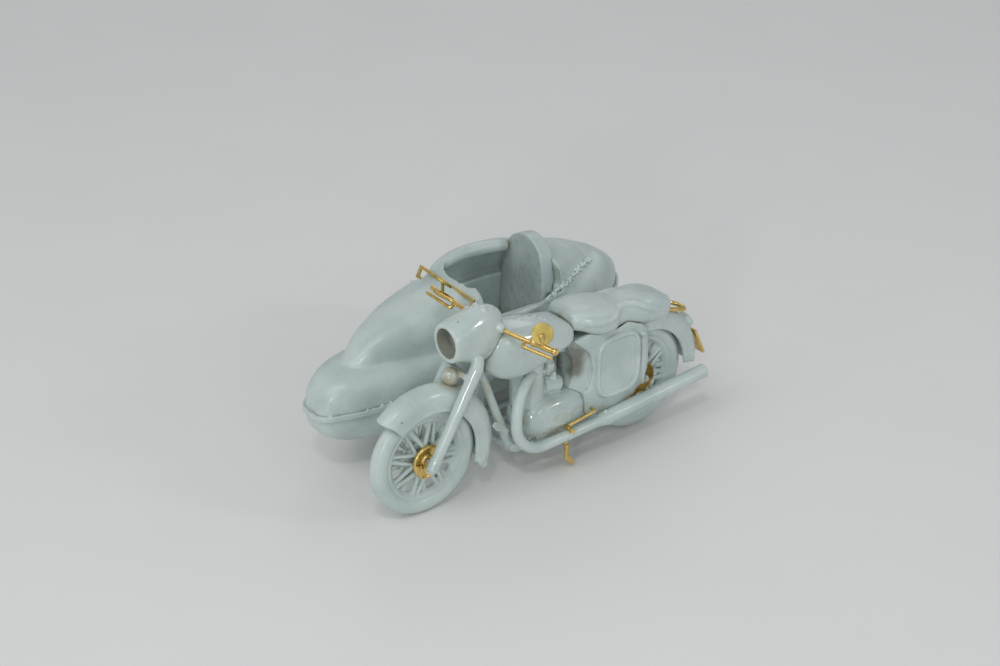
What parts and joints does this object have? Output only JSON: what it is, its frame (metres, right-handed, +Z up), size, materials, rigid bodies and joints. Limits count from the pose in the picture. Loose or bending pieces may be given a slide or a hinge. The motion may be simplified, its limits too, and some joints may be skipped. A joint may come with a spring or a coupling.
{
  "type": "sidecar motorcycle scale model",
  "caption": "Small unpainted scale model of a motorcycle with a boat-shaped sidecar, pale castings with etched brass bars, levers and stand, on three spoked wheels that turn.",
  "frame": {"origin": "middle of the model's footprint on the floor it stands on", "axes": "+X forward along the motorcycle, +Y to the rider's left, away from the sidecar, +Z up"},
  "size_m": [0.0288, 0.0216, 0.0143],
  "materials": {
    "resin": "satin, unpainted casting",
    "brass": "bright etched sheet"
  },
  "bodies": {
    "model": {"frame": "resin", "crankcase": "resin", "cylinder_block": "resin", "carburettor": "resin", "tank": "resin", "dual_seat": "resin", "side_box_left": "resin", "side_box_right": "resin", "rear_mudguard": "resin", "swingarm": "resin", "shock_left": "resin", "shock_right": "resin", "exhaust_left": "resin", "exhaust_right": "resin", "fork_leg_left": "resin", "fork_leg_right": "resin", "fork_yoke": "resin", "nacelle": "resin", "horn": "resin", "front_mudguard": "resin", "sidecar_body": "resin", "belt_rail": "resin", "seat_back": "resin", "seat_cushion": "resin", "sidecar_chassis": "resin", "sidecar_mudguard": "resin", "front_axle": "resin", "rear_axle": "resin", "windscreen_frame": "brass", "handlebar": "brass", "lever_left": "brass", "lever_right": "brass", "mirror_left": "brass", "mirror_right": "brass", "front_brake_plate": "brass", "rear_brake_plate": "brass", "centre_stand": "brass", "footpeg_left": "brass", "footpeg_right": "brass", "gear_lever": "brass", "grab_rail": "brass", "plate_bracket": "brass"},
    "front_wheel": {"front_wheel": "resin"},
    "rear_wheel": {"rear_wheel": "resin"},
    "sidecar_wheel": {"sidecar_wheel": "resin"}
  },
  "joints": [
    {"name": "front_wheel_spin", "type": "hinge", "parent": "model", "child": "front_wheel", "pos_m": [0.0103, 0.00561, 0.00406], "axis": [0, 1, 0], "continuous": true},
    {"name": "rear_wheel_spin", "type": "hinge", "parent": "model", "child": "rear_wheel", "pos_m": [-0.008, 0.00561, 0.00406], "axis": [0, 1, 0], "continuous": true},
    {"name": "sidecar_wheel_spin", "type": "hinge", "parent": "model", "child": "sidecar_wheel", "pos_m": [-0.0049, -0.00989, 0.00406], "axis": [0, 1, 0], "continuous": true}
  ]
}
